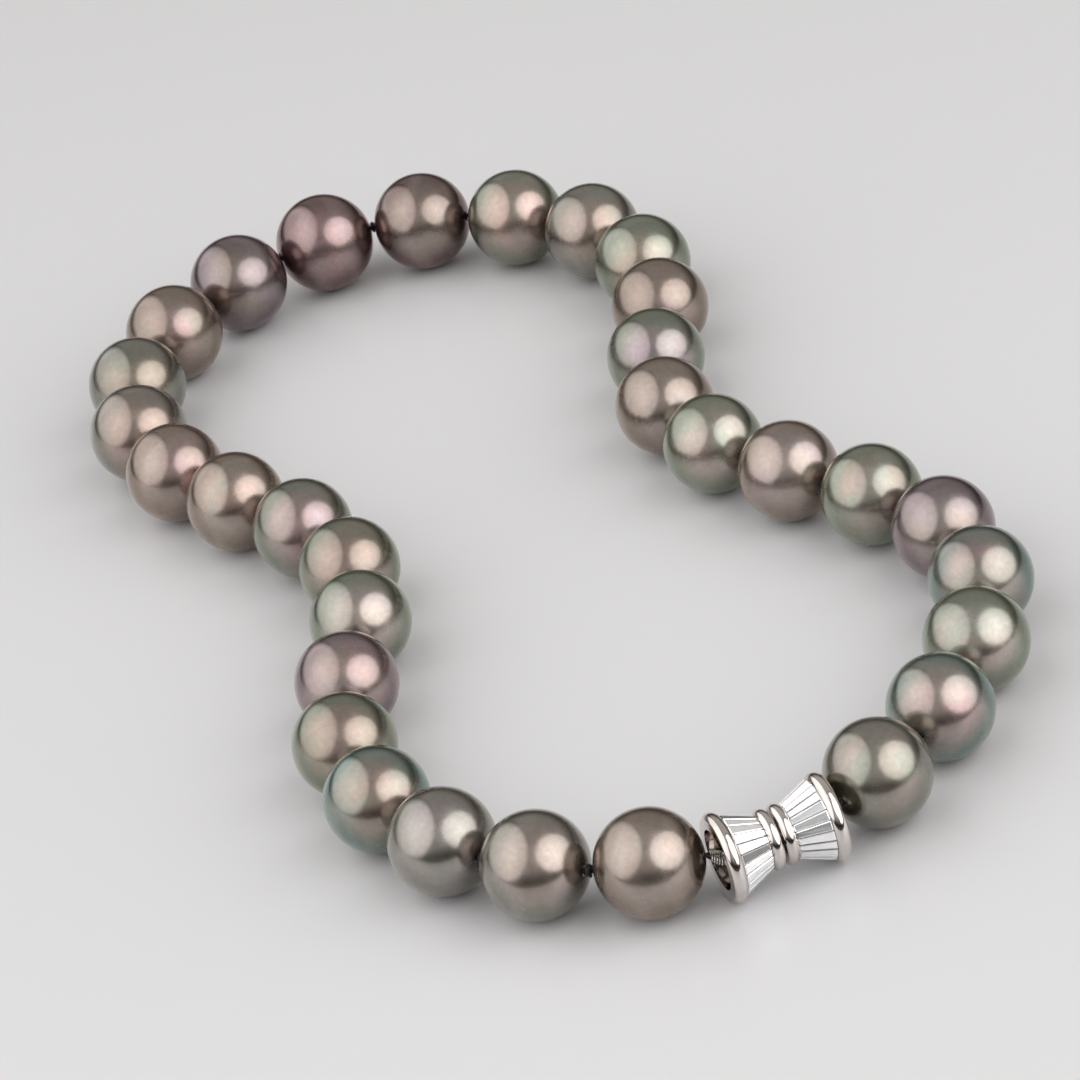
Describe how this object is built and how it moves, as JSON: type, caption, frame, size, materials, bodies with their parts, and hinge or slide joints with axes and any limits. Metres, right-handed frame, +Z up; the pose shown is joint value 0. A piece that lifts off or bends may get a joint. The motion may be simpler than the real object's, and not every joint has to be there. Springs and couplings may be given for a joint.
{
  "type": "pearl necklace",
  "caption": "Knotted strand of graduated dark round pearls, closed by an hourglass push clasp set all round with tapered baguette stones; strand bends and clasp opens.",
  "frame": {"origin": "middle of the loop's footprint, on the surface that the necklace lies on", "axes": "+Z up; +Y from the clasp towards the middle pearl; the loop lies flat in X and Y"},
  "size_m": [0.1118, 0.186, 0.0142],
  "materials": {
    "pearl_grey_green": "gloss",
    "pearl_bronze": "gloss",
    "pearl_rose": "gloss",
    "pearl_green": "gloss",
    "black_silk": "satin",
    "silver_wire": "satin",
    "white_gold": "polished",
    "spring_wire": "satin",
    "diamond": "polished"
  },
  "bodies": {
    "pearl_01": {"pearl_01": "pearl_bronze"},
    "pearl_02": {"pearl_02": "pearl_grey_green"},
    "pearl_03": {"pearl_03": "pearl_grey_green"},
    "pearl_04": {"pearl_04": "pearl_bronze"},
    "pearl_05": {"pearl_05": "pearl_bronze"},
    "pearl_06": {"pearl_06": "pearl_rose"},
    "pearl_07": {"pearl_07": "pearl_green"},
    "pearl_08": {"pearl_08": "pearl_green"},
    "pearl_09": {"pearl_09": "pearl_rose"},
    "pearl_10": {"pearl_10": "pearl_bronze"},
    "pearl_11": {"pearl_11": "pearl_rose"},
    "pearl_12": {"pearl_12": "pearl_rose"},
    "pearl_13": {"pearl_13": "pearl_green"},
    "pearl_14": {"pearl_14": "pearl_bronze"},
    "pearl_15": {"pearl_15": "pearl_rose"},
    "pearl_16": {"pearl_16": "pearl_rose", "silk_thread": "black_silk"},
    "pearl_17": {"pearl_17": "pearl_rose"},
    "pearl_18": {"pearl_18": "pearl_green"},
    "pearl_19": {"pearl_19": "pearl_grey_green"},
    "pearl_20": {"pearl_20": "pearl_green"},
    "pearl_21": {"pearl_21": "pearl_bronze"},
    "pearl_22": {"pearl_22": "pearl_rose"},
    "pearl_23": {"pearl_23": "pearl_bronze"},
    "pearl_24": {"pearl_24": "pearl_green"},
    "pearl_25": {"pearl_25": "pearl_bronze"},
    "pearl_26": {"pearl_26": "pearl_grey_green"},
    "pearl_27": {"pearl_27": "pearl_rose"},
    "pearl_28": {"pearl_28": "pearl_green"},
    "pearl_29": {"pearl_29": "pearl_grey_green"},
    "pearl_30": {"pearl_30": "pearl_grey_green"},
    "pearl_31": {"pearl_31": "pearl_grey_green"},
    "socket_link": {"socket_gimp": "silver_wire"},
    "plug_link": {"plug_gimp": "silver_wire"},
    "socket_half": {"socket_rim": "white_gold", "socket_waist_ring": "white_gold", "socket_cone": "white_gold", "socket_baguettes": "diamond", "socket_end_plate": "white_gold", "socket_eyelet": "white_gold", "socket_bush": "white_gold", "snap_ring": "spring_wire"},
    "plug_half": {"plug_rim": "white_gold", "plug_waist_ring": "white_gold", "plug_cone": "white_gold", "plug_baguettes": "diamond", "plug_end_plate": "white_gold", "plug_eyelet": "white_gold", "plug_pin": "white_gold"}
  },
  "joints": [
    {"name": "socket_end_bend", "type": "hinge", "parent": "pearl_01", "child": "socket_link", "pos_m": [0.00974, -0.08805, 0.0063], "axis": [0, 0, 1], "range_deg": [0, 5.78]},
    {"name": "knot_01_02", "type": "hinge", "parent": "pearl_02", "child": "pearl_01", "pos_m": [-0.00353, -0.08541, 0.0063], "axis": [0, 0, 1], "range_deg": [0, 5.46]},
    {"name": "knot_02_03", "type": "hinge", "parent": "pearl_03", "child": "pearl_02", "pos_m": [-0.01481, -0.07803, 0.00631], "axis": [0, 0, 1], "range_deg": [0, 4.85]},
    {"name": "knot_03_04", "type": "hinge", "parent": "pearl_04", "child": "pearl_03", "pos_m": [-0.02291, -0.06709, 0.00632], "axis": [0, 0, 1], "range_deg": [0, 4.04]},
    {"name": "knot_04_05", "type": "hinge", "parent": "pearl_05", "child": "pearl_04", "pos_m": [-0.02781, -0.0544, 0.00634], "axis": [0, 0, 1], "range_deg": [0, 3.15]},
    {"name": "knot_05_06", "type": "hinge", "parent": "pearl_06", "child": "pearl_05", "pos_m": [-0.02828, -0.04079, 0.00637], "axis": [0, 0, 1], "range_deg": [0, 2.24]},
    {"name": "knot_06_07", "type": "hinge", "parent": "pearl_07", "child": "pearl_06", "pos_m": [-0.025, -0.02743, 0.00641], "axis": [0, 0, 1], "range_deg": [0, 1.4]},
    {"name": "knot_07_08", "type": "hinge", "parent": "pearl_08", "child": "pearl_07", "pos_m": [-0.02252, -0.0139, 0.00645], "axis": [0, 0, 1], "range_deg": [0, 0.54]},
    {"name": "knot_08_09", "type": "hinge", "parent": "pearl_09", "child": "pearl_08", "pos_m": [-0.02535, -0.00033, 0.0065], "axis": [0, 0, 1], "range_deg": [-0.389, 0]},
    {"name": "knot_09_10", "type": "hinge", "parent": "pearl_10", "child": "pearl_09", "pos_m": [-0.03271, 0.01155, 0.00656], "axis": [0, 0, 1], "range_deg": [-1.25, 0]},
    {"name": "knot_10_11", "type": "hinge", "parent": "pearl_11", "child": "pearl_10", "pos_m": [-0.04175, 0.0224, 0.00662], "axis": [0, 0, 1], "range_deg": [-2.07, 0]},
    {"name": "knot_11_12", "type": "hinge", "parent": "pearl_12", "child": "pearl_11", "pos_m": [-0.04788, 0.0353, 0.00669], "axis": [0, 0, 1], "range_deg": [-2.99, 0]},
    {"name": "knot_12_13", "type": "hinge", "parent": "pearl_13", "child": "pearl_12", "pos_m": [-0.05049, 0.04947, 0.00677], "axis": [0, 0, 1], "range_deg": [-3.95, 0]},
    {"name": "knot_13_14", "type": "hinge", "parent": "pearl_14", "child": "pearl_13", "pos_m": [-0.04715, 0.06347, 0.00686], "axis": [0, 0, 1], "range_deg": [-4.83, 0]},
    {"name": "knot_14_15", "type": "hinge", "parent": "pearl_15", "child": "pearl_14", "pos_m": [-0.03869, 0.0756, 0.00695], "axis": [0, 0, 1], "range_deg": [-5.54, 0]},
    {"name": "knot_15_16", "type": "hinge", "parent": "pearl_16", "child": "pearl_15", "pos_m": [-0.02691, 0.08466, 0.00705], "axis": [0, 0, 1], "range_deg": [-6, 0]},
    {"name": "strand_spread", "type": "hinge", "parent": "pearl_16", "child": "pearl_17", "pos_m": [-0.01216, 0.08719, 0.00705], "axis": [0, 0, 1], "range_deg": [0, 6], "deforming": ["silk_thread", "snap_ring"]},
    {"name": "knot_17_18", "type": "hinge", "parent": "pearl_17", "child": "pearl_18", "pos_m": [0.0022, 0.08304, 0.00695], "axis": [0, 0, 1], "range_deg": [0, 5.57]},
    {"name": "knot_18_19", "type": "hinge", "parent": "pearl_18", "child": "pearl_19", "pos_m": [0.01424, 0.07462, 0.00686], "axis": [0, 0, 1], "range_deg": [0, 4.88]},
    {"name": "knot_19_20", "type": "hinge", "parent": "pearl_19", "child": "pearl_20", "pos_m": [0.02215, 0.06243, 0.00677], "axis": [0, 0, 1], "range_deg": [0, 3.98]},
    {"name": "knot_20_21", "type": "hinge", "parent": "pearl_20", "child": "pearl_21", "pos_m": [0.0249, 0.04829, 0.00669], "axis": [0, 0, 1], "range_deg": [0, 3.02]},
    {"name": "knot_21_22", "type": "hinge", "parent": "pearl_21", "child": "pearl_22", "pos_m": [0.02287, 0.03422, 0.00662], "axis": [0, 0, 1], "range_deg": [0, 2.12]},
    {"name": "knot_22_23", "type": "hinge", "parent": "pearl_22", "child": "pearl_23", "pos_m": [0.01949, 0.02048, 0.00656], "axis": [0, 0, 1], "range_deg": [0, 1.25]},
    {"name": "knot_23_24", "type": "hinge", "parent": "pearl_23", "child": "pearl_24", "pos_m": [0.02115, 0.00676, 0.0065], "axis": [0, 0, 1], "range_deg": [0, 0.332]},
    {"name": "knot_24_25", "type": "hinge", "parent": "pearl_24", "child": "pearl_25", "pos_m": [0.02818, -0.00527, 0.00645], "axis": [0, 0, 1], "range_deg": [-0.543, 0]},
    {"name": "knot_25_26", "type": "hinge", "parent": "pearl_25", "child": "pearl_26", "pos_m": [0.03698, -0.01596, 0.00641], "axis": [0, 0, 1], "range_deg": [-1.34, 0]},
    {"name": "knot_26_27", "type": "hinge", "parent": "pearl_26", "child": "pearl_27", "pos_m": [0.04551, -0.02672, 0.00637], "axis": [0, 0, 1], "range_deg": [-2.15, 0]},
    {"name": "knot_27_28", "type": "hinge", "parent": "pearl_27", "child": "pearl_28", "pos_m": [0.05015, -0.03954, 0.00634], "axis": [0, 0, 1], "range_deg": [-3.05, 0]},
    {"name": "knot_28_29", "type": "hinge", "parent": "pearl_28", "child": "pearl_29", "pos_m": [0.04902, -0.05299, 0.00632], "axis": [0, 0, 1], "range_deg": [-3.92, 0]},
    {"name": "knot_29_30", "type": "hinge", "parent": "pearl_29", "child": "pearl_30", "pos_m": [0.04338, -0.06537, 0.00631], "axis": [0, 0, 1], "range_deg": [-4.67, 0]},
    {"name": "knot_30_31", "type": "hinge", "parent": "pearl_30", "child": "pearl_31", "pos_m": [0.03554, -0.07648, 0.0063], "axis": [0, 0, 1], "range_deg": [-5.31, 0]},
    {"name": "plug_end_bend", "type": "hinge", "parent": "pearl_31", "child": "plug_link", "pos_m": [0.02485, -0.0847, 0.0063], "axis": [0, 0, 1], "range_deg": [-5.73, 0]},
    {"name": "socket_swivel", "type": "hinge", "parent": "socket_link", "child": "socket_half", "pos_m": [0.01728, -0.08638, 0.00525], "axis": [0.9763, 0.2164, 0], "range_deg": [-30, 30], "deforming": ["socket_gimp"]},
    {"name": "plug_swivel", "type": "hinge", "parent": "plug_link", "child": "plug_half", "pos_m": [0.01728, -0.08638, 0.00525], "axis": [0.9763, 0.2164, 0], "range_deg": [-30, 30], "deforming": ["plug_gimp"]}
  ],
  "couplings": [
    {"joint": "socket_end_bend", "follows": "strand_spread", "ratio": 0.9637},
    {"joint": "knot_01_02", "follows": "strand_spread", "ratio": 0.90981},
    {"joint": "knot_02_03", "follows": "strand_spread", "ratio": 0.80767},
    {"joint": "knot_03_04", "follows": "strand_spread", "ratio": 0.67253},
    {"joint": "knot_04_05", "follows": "strand_spread", "ratio": 0.52408},
    {"joint": "knot_05_06", "follows": "strand_spread", "ratio": 0.37382},
    {"joint": "knot_06_07", "follows": "strand_spread", "ratio": 0.23342},
    {"joint": "knot_07_08", "follows": "strand_spread", "ratio": 0.089684},
    {"joint": "knot_08_09", "follows": "strand_spread", "ratio": -0.064554},
    {"joint": "knot_09_10", "follows": "strand_spread", "ratio": -0.20869},
    {"joint": "knot_10_11", "follows": "strand_spread", "ratio": -0.34468},
    {"joint": "knot_11_12", "follows": "strand_spread", "ratio": -0.49767},
    {"joint": "knot_12_13", "follows": "strand_spread", "ratio": -0.65805},
    {"joint": "knot_13_14", "follows": "strand_spread", "ratio": -0.80545},
    {"joint": "knot_14_15", "follows": "strand_spread", "ratio": -0.92257},
    {"joint": "knot_15_16", "follows": "strand_spread", "ratio": -0.99987},
    {"joint": "knot_17_18", "follows": "strand_spread", "ratio": 0.92748},
    {"joint": "knot_18_19", "follows": "strand_spread", "ratio": 0.81252},
    {"joint": "knot_19_20", "follows": "strand_spread", "ratio": 0.66386},
    {"joint": "knot_20_21", "follows": "strand_spread", "ratio": 0.50356},
    {"joint": "knot_21_22", "follows": "strand_spread", "ratio": 0.35301},
    {"joint": "knot_22_23", "follows": "strand_spread", "ratio": 0.20871},
    {"joint": "knot_23_24", "follows": "strand_spread", "ratio": 0.055013},
    {"joint": "knot_24_25", "follows": "strand_spread", "ratio": -0.090199},
    {"joint": "knot_25_26", "follows": "strand_spread", "ratio": -0.22394},
    {"joint": "knot_26_27", "follows": "strand_spread", "ratio": -0.35797},
    {"joint": "knot_27_28", "follows": "strand_spread", "ratio": -0.50736},
    {"joint": "knot_28_29", "follows": "strand_spread", "ratio": -0.65286},
    {"joint": "knot_29_30", "follows": "strand_spread", "ratio": -0.77809},
    {"joint": "knot_30_31", "follows": "strand_spread", "ratio": -0.88523},
    {"joint": "plug_end_bend", "follows": "strand_spread", "ratio": -0.95532}
  ]
}
